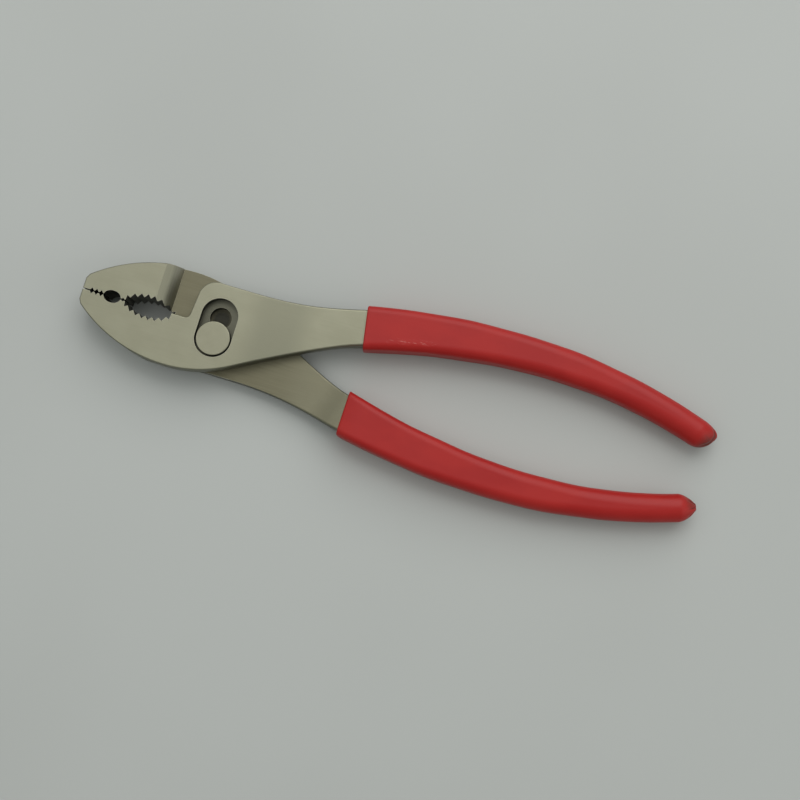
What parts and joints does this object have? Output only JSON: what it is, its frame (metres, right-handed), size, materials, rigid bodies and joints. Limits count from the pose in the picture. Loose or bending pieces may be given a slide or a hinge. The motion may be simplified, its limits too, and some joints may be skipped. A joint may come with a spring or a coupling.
{
  "type": "slip-joint pliers",
  "caption": "Slip-joint pliers: half-lapped levers with toothed jaws, a flush pivot bolt that slips along a keyed slot to widen the bite, and dipped vinyl sleeves on bowed handles.",
  "frame": {"origin": "on the pivot's axis, in the plane of the back face, with the bolt in the seat that it has in the picture", "axes": "+X from the pivot towards the handle ends, +Y from the lower jaw towards the upper jaw, +Z out of the front face"},
  "size_m": [0.2014, 0.0517, 0.011],
  "materials": {
    "ground_titanium": "forged titanium alloy, faces ground to a satin, edges broken by hand",
    "turned_titanium": "turned titanium alloy, faced flush with the lever",
    "red_vinyl": "dipped vinyl, soft satin gloss"
  },
  "bodies": {
    "front_half": {"front_lever": "ground_titanium", "upper_grip": "red_vinyl"},
    "pivot": {"pivot_bolt": "turned_titanium", "pivot_nut": "turned_titanium"},
    "rear_half": {"rear_lever": "ground_titanium", "lower_grip": "red_vinyl"}
  },
  "joints": [
    {"name": "pivot_slip", "type": "slide", "parent": "front_half", "child": "pivot", "axis": [0, 1, 0], "range_m": [0, 0.0069]},
    {"name": "jaw_open", "type": "hinge", "parent": "pivot", "child": "rear_half", "pos_m": [0, 0, 0], "axis": [0, 0, -1], "range_deg": [0, 40]}
  ]
}
